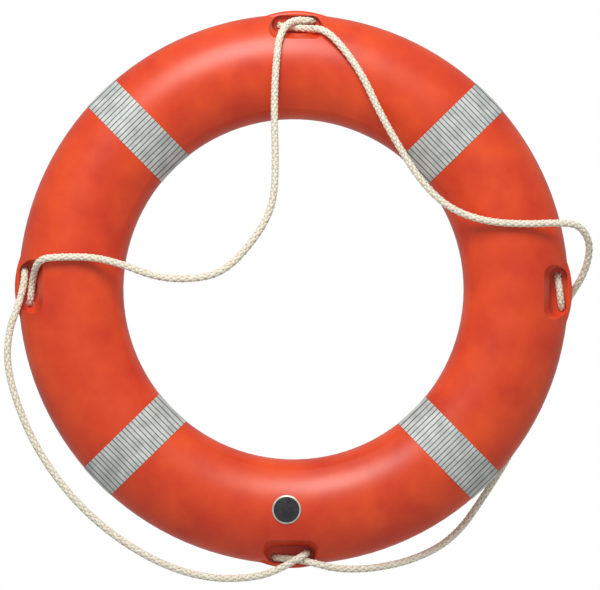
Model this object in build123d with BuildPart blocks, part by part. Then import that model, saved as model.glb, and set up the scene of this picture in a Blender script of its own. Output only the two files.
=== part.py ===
from build123d import *
import os
from math import cos, pi, radians, sin, tan

# Ring lifebuoy hung upright on a peg. Millimetres, +Z up, front towards -Y.
# The origin is the place at the top of the ring's hole that bears on the peg.

os.makedirs("parts", exist_ok=True)

# Ring body: an oval tube bent into a ring about an axis along Y.
outer_diameter = 720
hole_diameter = 445
tube_depth = 105  # front to back
rim_radius = 42  # of the oval's arcs at the inner and outer rims
wall = 3  # of the moulded shell
land_cut = 1.2  # how far the flat land cuts into the back

half_width = (outer_diameter - hole_diameter) / 4
half_depth = tube_depth / 2
tube_radius = (outer_diameter + hole_diameter) / 4  # from the ring's axis to the tube's middle
back_land = half_depth - land_cut
rim_offset = half_width - rim_radius
# The crown arcs at the front and back are tangent to the rim arcs.
crown_radius = (rim_offset**2 + half_depth**2 - rim_radius**2) / (2 * (half_depth - rim_radius))
crown_offset = crown_radius - half_depth
ring_centre = Vector(0, 0, -hole_diameter / 2)
ring_axis = Axis(tuple(ring_centre), (0, 1, 0))

# Four stations hold the grab line: a pocket in the front and back of the rim,
# a membrane between the two, and a bridge left outside them.
stations = {"top": 90, "left": 180, "bottom": 270, "right": 0}
throat_length = 64
throat_width = 23.5
throat_outer = 358  # the bridge's inner side
mouth_length = 80
mouth_width = 32
membrane = 14  # thickness of the membrane
flare_start = 22  # depths from mid-plane between which the throat widens to the mouth
flare_end = 46
bridge_outer = 364.5
bridge_end = 356.5  # how far out the thickening is where it sinks into the rim
bridge_depth = 30
bridge_length = 84
bridge_rounding = 5
pocket_radius = throat_outer - throat_width / 2

# Retroreflective bands wrapped round the tube half way between the stations.
bands = {"upper_right": 45, "upper_left": 135, "lower_left": 225, "lower_right": 315}
band_width = 50
band_thickness = 0.5
band_sweep = 20  # of the skin that a band is cut from

# Round badge on the front, at the bottom of the ring.
badge_diameter = 37.5
badge_rim_width = 2
badge_thickness = 0.6
badge_rim_thickness = 1.0
badge_place = (-6, -287)  # x and z from the ring's centre
badge_angle = 269
badge_sweep = 14

# Plugs of the foam filling holes, in bosses behind the flat land.
fill_plug_sizes = (12, 8)  # flange and spigot radii
vent_plug_sizes = (7, 4)
fill_plug_angle = 292
vent_plug_angle = 248
plug_flange = 1.6
plug_length = 9.6
boss_depth = 9
boss_wall = 3.5
plug_gap = 0.15
plug_end_gap = 0.6

# Grab line: one rope, its ends joined in a sleeve behind the ring.
rope_diameter = 10
rope_gap = 0.4  # between the rope and its channel through the membrane
sleeve_reach = 30  # each way from the corner of the route that it covers
sleeve_thickness = 1.2

# Rope round the membrane of each station: (across, out from the axis, depth) of each
# corner of its route, where across is clockwise. The rope is followed anticlockwise.
turns = {
    "top": [
        (12, 340.8, -14), (-22.5, 344.5, -12.6), (-22.5, 345, 12.6),
        (22.5, 350.5, 12.6), (22.5, 351.3, -12.6), (-6, 352.6, -16),
    ],
    "left": [
        (10, 341, -14), (-22.5, 344.5, -12.6), (-22.5, 345, 12.6),
        (22.5, 350.5, 12.6), (22.5, 351.3, -12.6), (2, 352.4, -16),
    ],
    "bottom": [
        (-20.5, 344.5, -32), (-22.5, 344.5, 12.6),
        (22.5, 350.5, 12.6), (22.5, 351.3, -12.6), (-4, 352, -15.5),
    ],
    "right": [
        (-22.5, 344.5, 15), (-22.5, 345, -12.6), (22.5, 351.3, -12.6), (22.5, 351.8, 21),
    ],
}

# Free loops between the stations: (x, y, z) of each corner, from the ring's centre.
loops = {
    "upper_left": [
        (-21, -50, 334), (-25.5, -59.5, 300), (-28, -60, 240), (-24.5, -59.5, 152),
        (-28.5, -59.5, 106), (-50, -59.5, 66), (-90, -59.5, 21), (-135, -59.5, 11),
        (-180, -59.5, 14), (-225, -60, 31), (-262, -60.5, 39.5), (-306, -60, 39),
        (-333, -53, 36),
    ],
    "lower_left": [
        (-359.5, -25, -26), (-370.5, -24, -55), (-374, -23, -98), (-362, -22.5, -147),
        (-336, -22.5, -208), (-292, -22.5, -270), (-236, -23, -322), (-170, -23.5, -361),
        (-106, -24.5, -379.5), (-46, -26, -377), (-14, -27, -365.5),
    ],
    "lower_right": [
        (33, -28, -357.5), (58, -22, -364.5), (104, -8, -365), (162, 10, -353),
        (215, 26, -324), (256, 36, -265), (292, 43, -205), (320, 46.5, -137),
        (337, 47.5, -80), (345, 45, -32), (350, 31, 3),
    ],
    "upper_right": [
        (366, 21, 0), (378, 10, 20), (385.5, -3, 42), (386.5, -22, 67), (372, -40, 88),
        (345, -52, 90.5), (304, -59.5, 88), (252, -60.5, 90), (203, -60, 106), (166, -59.5, 140),
        (137, -59.5, 184.5), (110, -60, 231), (88, -60, 278), (62, -56, 315),
        (37, -49, 340),
    ],
}
sleeve_corner = loops["lower_right"][7]
rope_order = [
    ("turn", "top"), ("loop", "upper_left"), ("turn", "left"), ("loop", "lower_left"),
    ("turn", "bottom"), ("loop", "lower_right"), ("turn", "right"), ("loop", "upper_right"),
]


def outward(angle):
    """The direction from the ring's axis to its rim at an angle, anticlockwise from +X."""
    return Vector(cos(radians(angle)), 0, sin(radians(angle)))


def section_plane(angle):
    """Plane across the tube at an angle: x out from the axis, y towards the back."""
    return Plane(
        origin=ring_centre + outward(angle) * tube_radius,
        x_dir=outward(angle),
        z_dir=outward(angle + 90),
    )


def front_plane(angle, radius):
    """Plane facing the front at a radius: x clockwise, y out from the axis."""
    return Plane(
        origin=ring_centre + outward(angle) * radius, x_dir=outward(angle - 90), z_dir=(0, -1, 0)
    )


def section_face(inset):
    """The tube's oval, drawn inset from its surface, with the flat land across its back."""
    lean_x = rim_offset / (crown_radius - rim_radius)
    lean_y = crown_offset / (crown_radius - rim_radius)
    joint_x = (crown_radius - inset) * lean_x
    joint_y = (crown_radius - inset) * lean_y - crown_offset
    with BuildSketch() as oval:
        with BuildLine():
            ThreePointArc((-joint_x, joint_y), (0, half_depth - inset), (joint_x, joint_y))
            ThreePointArc((joint_x, joint_y), (half_width - inset, 0), (joint_x, -joint_y))
            ThreePointArc((joint_x, -joint_y), (0, inset - half_depth), (-joint_x, -joint_y))
            ThreePointArc((-joint_x, -joint_y), (inset - half_width, 0), (-joint_x, joint_y))
        make_face()
        with Locations((0, back_land - inset)):
            Rectangle(
                2 * half_width, half_depth, align=(Align.CENTER, Align.MIN), mode=Mode.SUBTRACT
            )
    return oval.sketch


def cut_pocket(angle, grow):
    """Cut a station's two pockets, grown by an amount, from the part being built."""
    plane = front_plane(angle, pocket_radius)
    floor = 0 if grow else membrane / 2
    for side in (1, -1):
        with BuildSketch(plane.offset(side * floor)) as throat:
            SlotOverall(throat_length + 2 * grow, throat_width + 2 * grow)
        extrude(throat.sketch, amount=side * tube_depth, mode=Mode.SUBTRACT)
        with BuildSketch(plane.offset(side * flare_start)) as flare:
            SlotOverall(throat_length + 2 * grow, throat_width + 2 * grow)
        with BuildSketch(plane.offset(side * flare_end)) as mouth:
            with Locations((0, (throat_width - mouth_width) / 2)):
                SlotOverall(mouth_length + 2 * grow, mouth_width + 2 * grow)
        loft([flare.sketch, mouth.sketch], mode=Mode.SUBTRACT)


def turn_corners(station):
    """Corners of the rope's route round a station's membrane."""
    angle = stations[station]
    return [
        ring_centre + outward(angle - 90) * across + outward(angle) * out + Vector(0, depth, 0)
        for across, out, depth in turns[station]
    ]


def loop_corners(loop):
    """Corners of a free loop of the rope."""
    return [ring_centre + Vector(*corner) for corner in loops[loop]]


def arc_radii(points):
    """Radius of the arc at each inner point: as large as its two runs allow."""
    radii = []
    for before, here, after in zip(points, points[1:], points[2:]):
        half_turn = radians((here - before).get_angle(after - here)) / 2
        radii.append(0.45 * min((here - before).length, (after - here).length) / tan(half_turn))
    return radii


def sweep_rope(points, radii, radius, mode=Mode.ADD):
    """Sweep a round tube along straight runs joined by tangent arcs; returns its length."""
    with BuildLine() as path:
        FilletPolyline(*points, radius=radii)
    with BuildSketch(Plane(origin=path.line @ 0, z_dir=path.line % 0)) as section:
        Circle(radius)
    sweep(section.sketch, path=path.line, mode=mode)
    return path.wire().length


def finish_part(part, name):
    """Name a finished piece and write it to its own file."""
    part.label = name
    export_step(part, f"parts/{name}.step")


# The rope's pieces: each runs from the middle of the run before its first corner to the
# middle of the run after its last, so neighbours meet face to face.
piece_corners = [
    turn_corners(place) if kind == "turn" else loop_corners(place) for kind, place in rope_order
]
rope_routes = {}
for i, (kind, place) in enumerate(rope_order):
    corners = piece_corners[i]
    before = piece_corners[i - 1][-1]
    after = piece_corners[(i + 1) % len(piece_corners)][0]
    points = [(before + corners[0]) / 2, *corners, (corners[-1] + after) / 2]
    rope_routes[kind, place] = (points, arc_radii([before, *corners, after]))

# Rigid foam core: it fills the shell, round the pockets' walls and the filler bosses.
plugs = [
    ("fill_plug", fill_plug_angle, fill_plug_sizes),
    ("vent_plug", vent_plug_angle, vent_plug_sizes),
]
with BuildPart() as foam_core:
    with BuildSketch(section_plane(0)):
        add(section_face(wall))
    revolve(axis=ring_axis)
    for angle in stations.values():
        cut_pocket(angle, wall)
    for _, angle, (flange_radius, _) in plugs:
        with BuildSketch(front_plane(angle, tube_radius).offset(-(back_land - boss_depth))):
            Circle(flange_radius + boss_wall)
        extrude(amount=-boss_depth, mode=Mode.SUBTRACT)
finish_part(foam_core.part, "foam_core")

# Thickening of the rim that the bridges are cut from, the same at each station.
with BuildPart() as bridge_blank:
    with BuildSketch(front_plane(0, 0).offset(-bridge_depth / 2)):
        with BuildLine():
            ThreePointArc(
                (-bridge_length / 2, bridge_end), (0, bridge_outer), (bridge_length / 2, bridge_end)
            )
            Polyline(
                (-bridge_length / 2, bridge_end),
                (-bridge_length / 2, pocket_radius),
                (bridge_length / 2, pocket_radius),
                (bridge_length / 2, bridge_end),
            )
        make_face()
    extrude(amount=bridge_depth)
    fillet(bridge_blank.edges().filter_by(GeomType.CIRCLE), bridge_rounding)

# Moulded shell: one closed skin with the pockets, bridges, rope channels and plug holes.
with BuildPart() as shell:
    with BuildSketch(section_plane(0)):
        add(section_face(0))
    revolve(axis=ring_axis)
    for angle in stations.values():
        add(bridge_blank.part.rotate(ring_axis, -angle))
    for angle in stations.values():
        cut_pocket(angle, 0)
    for station in stations:
        sweep_rope(*rope_routes["turn", station], rope_diameter / 2 + rope_gap, Mode.SUBTRACT)
    for _, angle, (flange_radius, spigot_radius) in plugs:
        with BuildSketch(front_plane(angle, tube_radius).offset(-(back_land - plug_flange))):
            Circle(flange_radius + plug_gap)
        extrude(amount=-2 * plug_flange, mode=Mode.SUBTRACT)
        with BuildSketch(front_plane(angle, tube_radius).offset(-(back_land - plug_length))):
            Circle(spigot_radius + plug_gap)
        extrude(amount=-plug_length, mode=Mode.SUBTRACT)
    add(foam_core.part, mode=Mode.SUBTRACT)
finish_part(shell.part, "shell")

# Push-in plugs that close the filling and vent holes, flush with the back land.
for name, angle, (flange_radius, spigot_radius) in plugs:
    with BuildPart() as plug:
        with BuildSketch(front_plane(angle, tube_radius).offset(-(back_land - plug_flange))):
            Circle(flange_radius)
        extrude(amount=-plug_flange)
        spigot_end = back_land - plug_length + plug_end_gap
        with BuildSketch(front_plane(angle, tube_radius).offset(-spigot_end)):
            Circle(spigot_radius)
        extrude(amount=spigot_end + plug_flange - back_land)
    finish_part(plug.part, name)

# Retroreflective bands: a thin skin round the tube, parallel sided.
for place, angle in bands.items():
    with BuildPart() as band:
        with BuildSketch(section_plane(angle - band_sweep / 2)):
            add(section_face(-band_thickness))
            add(section_face(0), mode=Mode.SUBTRACT)
        revolve(axis=ring_axis, revolution_arc=-band_sweep)
        with BuildSketch(front_plane(angle, tube_radius).offset(-tube_depth)):
            Rectangle(band_width, 2 * tube_radius)
        extrude(amount=2 * tube_depth, mode=Mode.INTERSECT)
    finish_part(band.part, f"reflective_band_{place}")

# Badge: a disc that follows the front of the tube, inside a slightly thicker rim.
badge_plane = Plane(
    origin=ring_centre + Vector(badge_place[0], 0, badge_place[1]), x_dir=(1, 0, 0), z_dir=(0, -1, 0)
)
badge_rings = [
    ("badge_disc", badge_thickness, 0, badge_diameter / 2 - badge_rim_width),
    ("badge_rim", badge_rim_thickness, badge_diameter / 2 - badge_rim_width, badge_diameter / 2),
]
for name, thickness, inner_radius, outer_radius in badge_rings:
    with BuildPart() as badge:
        with BuildSketch(section_plane(badge_angle - badge_sweep / 2)):
            add(section_face(-thickness))
            add(section_face(0), mode=Mode.SUBTRACT)
        revolve(axis=ring_axis, revolution_arc=-badge_sweep)
        with BuildSketch(badge_plane):
            Circle(outer_radius)
            if inner_radius:
                Circle(inner_radius, mode=Mode.SUBTRACT)
        extrude(amount=tube_depth, mode=Mode.INTERSECT)
    finish_part(badge.part, name)

# Grab line.
rope_area = pi * rope_diameter**2 / 4
rope_length = 0
for (kind, place), (points, radii) in rope_routes.items():
    name = f"grab_line_turn_{place}" if kind == "turn" else f"grab_line_{place}"
    with BuildPart() as rope:
        length = sweep_rope(points, radii, rope_diameter / 2)
    rope_length += length
    print(
        f"{name}: length {length:.1f}, volume share {rope.part.volume / length / rope_area:.4f},"
        f" radii {[round(radius, 1) for radius in radii]}"
    )
    finish_part(rope.part, name)
print(f"grab line: {rope_length:.0f} long")

# Sleeve over the joint of the rope's two ends, round one gentle corner of its route.
corner = ring_centre + Vector(*sleeve_corner)
points, radii = rope_routes["loop", "lower_right"]
place = next(i for i, point in enumerate(points) if (point - corner).length < 0.001)
sleeve_route = [
    corner + (points[place - 1] - corner).normalized() * sleeve_reach,
    corner,
    corner + (points[place + 1] - corner).normalized() * sleeve_reach,
]
with BuildPart() as rope_joint_sleeve:
    with BuildLine() as sleeve_path:
        FilletPolyline(*sleeve_route, radius=radii[place - 1])
    with BuildSketch(Plane(origin=sleeve_path.line @ 0, z_dir=sleeve_path.line % 0)):
        Circle(rope_diameter / 2 + sleeve_thickness)
        Circle(rope_diameter / 2, mode=Mode.SUBTRACT)
    sweep(path=sleeve_path.line)
finish_part(rope_joint_sleeve.part, "rope_joint_sleeve")
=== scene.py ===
from math import atan, cos, pi, radians, sin

import bpy
import numpy as np
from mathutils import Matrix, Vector


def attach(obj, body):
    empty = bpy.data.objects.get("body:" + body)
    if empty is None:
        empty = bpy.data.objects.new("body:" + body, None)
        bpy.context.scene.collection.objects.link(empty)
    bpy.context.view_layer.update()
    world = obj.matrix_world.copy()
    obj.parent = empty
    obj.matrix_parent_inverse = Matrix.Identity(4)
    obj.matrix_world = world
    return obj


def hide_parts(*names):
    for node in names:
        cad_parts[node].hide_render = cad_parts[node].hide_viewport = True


# Ring lifebuoy hung upright. Metres, +Z up, front towards -Y. Sizes in millimetres are
# the part's own, and are turned into metres where they are used.

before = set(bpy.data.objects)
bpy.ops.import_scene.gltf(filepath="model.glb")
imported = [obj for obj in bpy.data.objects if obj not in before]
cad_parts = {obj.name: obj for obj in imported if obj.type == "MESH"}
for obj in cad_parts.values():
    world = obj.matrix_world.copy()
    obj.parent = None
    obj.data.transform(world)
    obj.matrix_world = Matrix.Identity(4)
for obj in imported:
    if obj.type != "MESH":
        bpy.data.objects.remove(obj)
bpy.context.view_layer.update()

MM = 0.001
RING = np.array([0.0, 0.0, -222.5])  # the ring's centre
STATIONS = {"top": 90, "left": 180, "bottom": 270, "right": 0}  # angles round the ring

# Camera: straight on from the front, rolled a little, far enough to show no perspective.
VIEW_WIDTH = 785.4
CAMERA_DISTANCE = 10000
CAMERA_AIM = (8.6, -7.3)  # from the ring's centre
CAMERA_ROLL = 0.6
SENSOR_WIDTH = 36
CLIP_END = 100  # metres

camera_data = bpy.data.cameras.new("camera")
camera_data.sensor_width = SENSOR_WIDTH
camera_data.lens = SENSOR_WIDTH * CAMERA_DISTANCE / VIEW_WIDTH
camera_data.clip_end = CLIP_END
camera = bpy.data.objects.new("camera", camera_data)
bpy.context.scene.collection.objects.link(camera)
camera.location = (
    CAMERA_AIM[0] * MM, -CAMERA_DISTANCE * MM, (RING[2] + CAMERA_AIM[1]) * MM
)
camera.rotation_euler = (radians(90), radians(-CAMERA_ROLL), 0)
bpy.context.scene.camera = camera


# ---------------------------------------------------------------- grab line

ROPE_LAY = 40.0  # length of rope in which a strand goes round once
ROUTE_STEP = 1.0  # between points down the rope
CURVE_ORDER = 3
CURVE_STEPS = 48  # between two corners

# Corners of the route round each station's membrane, as (across, out, depth), and of
# each free loop from the ring's centre. The rope is followed anticlockwise.
TURNS = {
    "top": [
        (12, 340.8, -14), (-22.5, 344.5, -12.6), (-22.5, 345, 12.6),
        (22.5, 350.5, 12.6), (22.5, 351.3, -12.6), (-6, 352.6, -16),
    ],
    "left": [
        (10, 341, -14), (-22.5, 344.5, -12.6), (-22.5, 345, 12.6),
        (22.5, 350.5, 12.6), (22.5, 351.3, -12.6), (2, 352.4, -16),
    ],
    "bottom": [
        (-20.5, 344.5, -32), (-22.5, 344.5, 12.6),
        (22.5, 350.5, 12.6), (22.5, 351.3, -12.6), (-4, 352, -15.5),
    ],
    "right": [
        (-22.5, 344.5, 15), (-22.5, 345, -12.6), (22.5, 351.3, -12.6), (22.5, 351.8, 21),
    ],
}
LOOPS = {
    "upper_left": [
        (-21, -50, 334), (-25.5, -59.5, 300), (-28, -60, 240), (-24.5, -59.5, 152),
        (-28.5, -59.5, 106), (-50, -59.5, 66), (-90, -59.5, 21), (-135, -59.5, 11),
        (-180, -59.5, 14), (-225, -60, 31), (-262, -60.5, 39.5), (-306, -60, 39),
        (-333, -53, 36),
    ],
    "lower_left": [
        (-359.5, -25, -26), (-370.5, -24, -55), (-374, -23, -98), (-362, -22.5, -147),
        (-336, -22.5, -208), (-292, -22.5, -270), (-236, -23, -322), (-170, -23.5, -361),
        (-106, -24.5, -379.5), (-46, -26, -377), (-14, -27, -365.5),
    ],
    "lower_right": [
        (33, -28, -357.5), (58, -22, -364.5), (104, -8, -365), (162, 10, -353),
        (215, 26, -324), (256, 36, -265), (292, 43, -205), (320, 46.5, -137),
        (337, 47.5, -80), (345, 45, -32), (350, 31, 3),
    ],
    "upper_right": [
        (366, 21, 0), (378, 10, 20), (385.5, -3, 42), (386.5, -22, 67), (372, -40, 88),
        (345, -52, 90.5), (304, -59.5, 88), (252, -60.5, 90), (203, -60, 106), (166, -59.5, 140),
        (137, -59.5, 184.5), (110, -60, 231), (88, -60, 278), (62, -56, 315),
        (37, -49, 340),
    ],
}
ROPE_ORDER = [
    ("turn", "top"), ("loop", "upper_left"), ("turn", "left"), ("loop", "lower_left"),
    ("turn", "bottom"), ("loop", "lower_right"), ("turn", "right"), ("loop", "upper_right"),
]


def outward(angle):
    """The direction from the ring's axis to its rim at an angle, anticlockwise from +X."""
    return np.array([cos(radians(angle)), 0.0, sin(radians(angle))])


def piece_corners(kind, place):
    """Corners of one piece of the rope's route, in millimetres."""
    if kind == "loop":
        return [RING + np.array(corner, float) for corner in LOOPS[place]]
    angle = STATIONS[place]
    return [
        RING + outward(angle - 90) * across + outward(angle) * out + np.array([0, depth, 0])
        for across, out, depth in TURNS[place]
    ]


def rope_curve(name, controls):
    """A curve object along a piece of the route, clamped at its ends."""
    data = bpy.data.curves.new(name, "CURVE")
    data.dimensions = "3D"
    data.resolution_u = CURVE_STEPS
    spline = data.splines.new("NURBS")
    spline.points.add(len(controls) - 1)
    for point, control in zip(spline.points, controls):
        point.co = (*(control * MM), 1)
    spline.order_u = CURVE_ORDER
    spline.use_endpoint_u = True
    spline.resolution_u = CURVE_STEPS
    return bpy.data.objects.new(name, data)


def curve_points(curve):
    """Points down a bare curve, in millimetres."""
    mesh = bpy.data.meshes.new_from_object(curve)
    points = np.array([v.co for v in mesh.vertices], float) / MM
    bpy.data.meshes.remove(mesh)
    return points


def distances(points):
    """How far each point is down the line."""
    return np.concatenate([[0], np.cumsum(np.linalg.norm(np.diff(points, axis=0), axis=1))])


def resample(points, step):
    """The line again with evenly spaced points about a step apart."""
    along = distances(points)
    at = np.linspace(0, along[-1], int(round(along[-1] / step)) + 1)
    return np.stack([np.interp(at, along, points[:, k]) for k in range(3)], axis=1)


corners = [piece_corners(kind, place) for kind, place in ROPE_ORDER]
rope_lines = []
for i, here in enumerate(corners):
    start = (corners[i - 1][-1] + here[0]) / 2
    end = (here[-1] + corners[(i + 1) % len(corners)][0]) / 2
    curve = rope_curve("route", [start, *here, end])
    rope_lines.append(resample(curve_points(curve), ROUTE_STEP))
    bpy.data.curves.remove(curve.data)


def mesh_object(name, vertices, faces):
    """A smooth mesh object from points in millimetres and an array of faces."""
    data = bpy.data.meshes.new(name)
    data.from_pydata((np.asarray(vertices) * MM).tolist(), [], [list(face) for face in faces])
    data.update()
    data.polygons.foreach_set("use_smooth", [True] * len(data.polygons))
    made = bpy.data.objects.new(name, data)
    bpy.context.scene.collection.objects.link(made)
    return made


def frames_along(line, normal):
    """Two directions across a line, at right angles, that turn as little as they can."""
    tangent = np.gradient(line, axis=0)
    tangent /= np.linalg.norm(tangent, axis=1)[:, None]
    normals = np.empty_like(line)
    for i, t in enumerate(tangent):
        normal = normal - t * (normal @ t)
        normal = normal / np.linalg.norm(normal)
        normals[i] = normal
    return normals, np.cross(tangent, normals)


# The braid: eight flat strands, half of them each way round, over a plain core.
STRANDS = 4  # each way round
BRAID_MIDDLE = 3.5  # radius about which the strands weave
BRAID_WEAVE = 0.75  # how far a strand moves out and in
STRAND_HALF_WIDTH = 2.3
STRAND_HALF_THICKNESS = 0.75
CORE_RADIUS = 3.0
STRAND_SIDES = 8
FIRST_NORMAL = np.array([0.3, 0.2, 0.9])  # where the braid starts round the line


def braid(line, normals, sides, start):
    """Points and faces of the strands and the core along a line.

    start is how far down the whole rope the line begins.
    """
    along = distances(line)
    lean = atan(2 * pi * BRAID_MIDDLE / ROPE_LAY)
    fan = 2 * pi * np.arange(STRAND_SIDES) / STRAND_SIDES
    across = STRAND_HALF_WIDTH * np.cos(fan)
    wave = np.cos(2 * STRANDS * pi * (along + start) / ROPE_LAY)
    tubes = []
    for turn in (1, -1):
        for k in range(STRANDS):
            theta = turn * 2 * pi * (along + start) / ROPE_LAY + 2 * pi * k / STRANDS
            out = BRAID_MIDDLE + turn * BRAID_WEAVE * wave
            radius = out[:, None] + STRAND_HALF_THICKNESS * np.sin(fan)
            angle = theta[:, None] + across * cos(lean) / BRAID_MIDDLE
            place = along[:, None] - turn * across * sin(lean)
            tubes.append((place, angle, radius))
    flat = np.ones((len(along), STRAND_SIDES))
    tubes.append((along[:, None] * flat, fan * flat, CORE_RADIUS * flat))
    points, faces = [], []
    for place, angle, radius in tubes:
        place = np.clip(place, 0, along[-1]).ravel()
        middle, normal, side = (
            np.stack([np.interp(place, along, v[:, a]) for a in range(3)], axis=1)
            for v in (line, normals, sides)
        )
        angle, radius = angle.ravel()[:, None], radius.ravel()[:, None]
        base = sum(len(done) for done in points)
        points.append(middle + radius * (np.cos(angle) * normal + np.sin(angle) * side))
        i, k = np.meshgrid(np.arange(len(along) - 1), np.arange(STRAND_SIDES), indexing="ij")
        here, beside = i * STRAND_SIDES, (k + 1) % STRAND_SIDES
        faces.append(base + np.stack(
            [here + k, here + beside, here + STRAND_SIDES + beside, here + STRAND_SIDES + k],
            axis=-1).reshape(-1, 4))
    return np.concatenate(points), np.concatenate(faces)


# ---------------------------------------------------------------- materials

NOISE_DETAIL = 4.0
DARK_UP_TO = 0.3  # of the noise
LIGHT_FROM = 0.7
RELIEF_HEIGHT = 0.0005  # metres

TAPE_LINE_SCALE = 55.0
TAPE_LINE_WAVER = 0.6
TAPE_LINE_DETAIL = 1.0
TAPE_LINE_COLOUR = (0.2, 0.22, 0.23)
TAPE_LINE_UP_TO = 0.04  # of the wave
TAPE_FILM_FROM = 0.22


def node(tree, kind, inputs=None, **settings):
    """A shader node with its settings, and values or links for its inputs."""
    made = tree.nodes.new(kind)
    for key, value in settings.items():
        setattr(made, key, value)
    for key, value in (inputs or {}).items():
        if isinstance(value, bpy.types.NodeSocket):
            tree.links.new(value, made.inputs[key])
        else:
            made.inputs[key].default_value = value
    return made


def colour_ramp(tree, factor, low, low_colour, high, high_colour):
    """The colour that goes from one to the other as the factor goes from low to high."""
    ramp = node(tree, "ShaderNodeValToRGB", {"Fac": factor})
    first, last = ramp.color_ramp.elements
    first.position, first.color = low, (*low_colour, 1)
    last.position, last.color = high, (*high_colour, 1)
    return ramp.outputs[0]


def mottled(name, dark, light, roughness, scale, bump=0.1, metallic=0.0):
    """A material that varies between two colours over the surface, with a fine relief."""
    material = bpy.data.materials.new(name)
    material.use_nodes = True
    tree = material.node_tree
    shader = tree.nodes["Principled BSDF"]
    place = node(tree, "ShaderNodeTexCoord").outputs["Object"]
    noise = node(tree, "ShaderNodeTexNoise",
                 {"Vector": place, "Scale": scale, "Detail": NOISE_DETAIL}).outputs["Fac"]
    relief = node(tree, "ShaderNodeBump",
                  {"Height": noise, "Strength": bump, "Distance": RELIEF_HEIGHT})
    colour = colour_ramp(tree, noise, DARK_UP_TO, dark, LIGHT_FROM, light)
    tree.links.new(colour, shader.inputs["Base Color"])
    tree.links.new(relief.outputs[0], shader.inputs["Normal"])
    shader.inputs["Roughness"].default_value = roughness
    shader.inputs["Metallic"].default_value = metallic
    return material


def tape_material(place, angle):
    """Silver film with fine dark lines that run across the width of the tape."""
    material = mottled(f"tape_{place}", dark=(0.42, 0.45, 0.43), light=(0.68, 0.70, 0.66),
                       roughness=0.35, scale=60)
    tree = material.node_tree
    base_colour = tree.nodes["Principled BSDF"].inputs["Base Color"]
    where = node(tree, "ShaderNodeTexCoord").outputs["Object"]
    turned = node(tree, "ShaderNodeMapping",
                  {"Vector": where, "Rotation": (0, radians(angle), 0)}).outputs[0]
    wave = node(tree, "ShaderNodeTexWave",
                {"Vector": turned, "Scale": TAPE_LINE_SCALE, "Distortion": TAPE_LINE_WAVER,
                 "Detail": TAPE_LINE_DETAIL},
                bands_direction="X").outputs["Fac"]
    lines = colour_ramp(tree, wave, TAPE_LINE_UP_TO, TAPE_LINE_COLOUR, TAPE_FILM_FROM, (1, 1, 1))
    film = base_colour.links[0].from_socket
    # A colour mix takes its factor at input 0 and its colours at 6 and 7, and gives output 2.
    mixed = node(tree, "ShaderNodeMix", data_type="RGBA", blend_type="MULTIPLY")
    mixed.inputs[0].default_value = 1.0
    tree.links.new(film, mixed.inputs[6])
    tree.links.new(lines, mixed.inputs[7])
    tree.links.new(mixed.outputs[2], base_colour)
    return material


rope_material = mottled("rope", dark=(0.74, 0.66, 0.48), light=(0.93, 0.90, 0.79),
                        roughness=0.8, scale=220, bump=0.5)
plug_material = mottled("plug", dark=(0.52, 0.03, 0.006), light=(0.68, 0.05, 0.010),
                        roughness=0.4, scale=60)
materials = {
    "shell": mottled("shell", dark=(0.62, 0.035, 0.006), light=(0.80, 0.075, 0.010),
                     roughness=0.38, scale=18, bump=0.08),
    "foam_core": mottled("foam", dark=(0.78, 0.70, 0.46), light=(0.90, 0.82, 0.60),
                         roughness=0.9, scale=90, bump=0.6),
    "fill_plug": plug_material,
    "vent_plug": plug_material,
    "badge_disc": mottled("badge", dark=(0.008, 0.008, 0.010), light=(0.035, 0.035, 0.040),
                          roughness=0.25, scale=120),
    "badge_rim": mottled("badge_rim", dark=(0.55, 0.52, 0.46), light=(0.80, 0.78, 0.72),
                         roughness=0.3, scale=150, metallic=0.8),
    "rope_joint_sleeve": mottled("sleeve", dark=(0.66, 0.63, 0.54), light=(0.82, 0.80, 0.72),
                                 roughness=0.5, scale=90),
}
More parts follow.
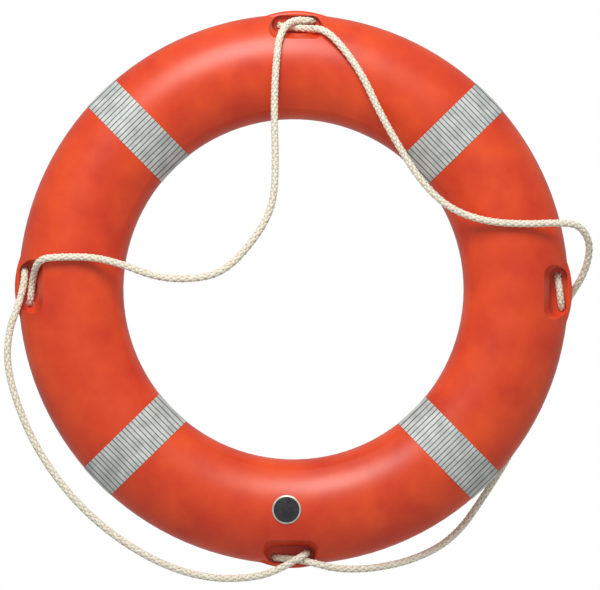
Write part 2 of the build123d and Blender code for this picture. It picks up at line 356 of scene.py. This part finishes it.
BANDS = {"upper_right": 45, "upper_left": 135, "lower_left": 225, "lower_right": 315}
for place, angle in BANDS.items():
    materials[f"reflective_band_{place}"] = tape_material(place, angle)
for name, cad_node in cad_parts.items():
    if name in materials:
        cad_node.data.materials.clear()
        cad_node.data.materials.append(materials[name])

# ---------------------------------------------------------------- braided rope

normal = FIRST_NORMAL
travelled = 0.0
for (kind, place), line in zip(ROPE_ORDER, rope_lines):
    cad_name = f"grab_line_turn_{place}" if kind == "turn" else f"grab_line_{place}"
    normals, sides = frames_along(line, normal)
    points, faces = braid(line, normals, sides, travelled)
    length = np.linalg.norm(np.diff(line, axis=0), axis=1).sum()
    normal, travelled = normals[-1], travelled + length
    rope = mesh_object(cad_name + "_rope", points, faces)
    rope.data.materials.append(rope_material)
    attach(rope, "root")
    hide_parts(cad_name)

# ---------------------------------------------------------------- light

ROOM_STRENGTH = 0.62
KEY_ENERGY = 95
KEY_SIZE = 1.5
KEY_PLACE = (-0.5, -2.5, 2.2)
KEY_AIM = Vector((0, 0, -0.22))

bpy.context.scene.view_settings.view_transform = "Standard"
world = bpy.data.worlds.new("world")
bpy.context.scene.world = world
world.use_nodes = True
world.node_tree.nodes.clear()
# The camera sees white, and the object is lit by a grey room.
path = node(world.node_tree, "ShaderNodeLightPath")
room = node(world.node_tree, "ShaderNodeBackground", {"Strength": ROOM_STRENGTH})
white = node(world.node_tree, "ShaderNodeBackground", {"Color": (1, 1, 1, 1)})
mix = node(world.node_tree, "ShaderNodeMixShader",
           {0: path.outputs["Is Camera Ray"], 1: room.outputs[0], 2: white.outputs[0]})
node(world.node_tree, "ShaderNodeOutputWorld", {0: mix.outputs[0]})

key_data = bpy.data.lights.new("key", "AREA")
key_data.energy = KEY_ENERGY
key_data.size = KEY_SIZE
key = bpy.data.objects.new("key", key_data)
bpy.context.scene.collection.objects.link(key)
key.location = KEY_PLACE
key.rotation_euler = (KEY_AIM - key.location).to_track_quat("-Z", "Y").to_euler()

bpy.context.view_layer.update()
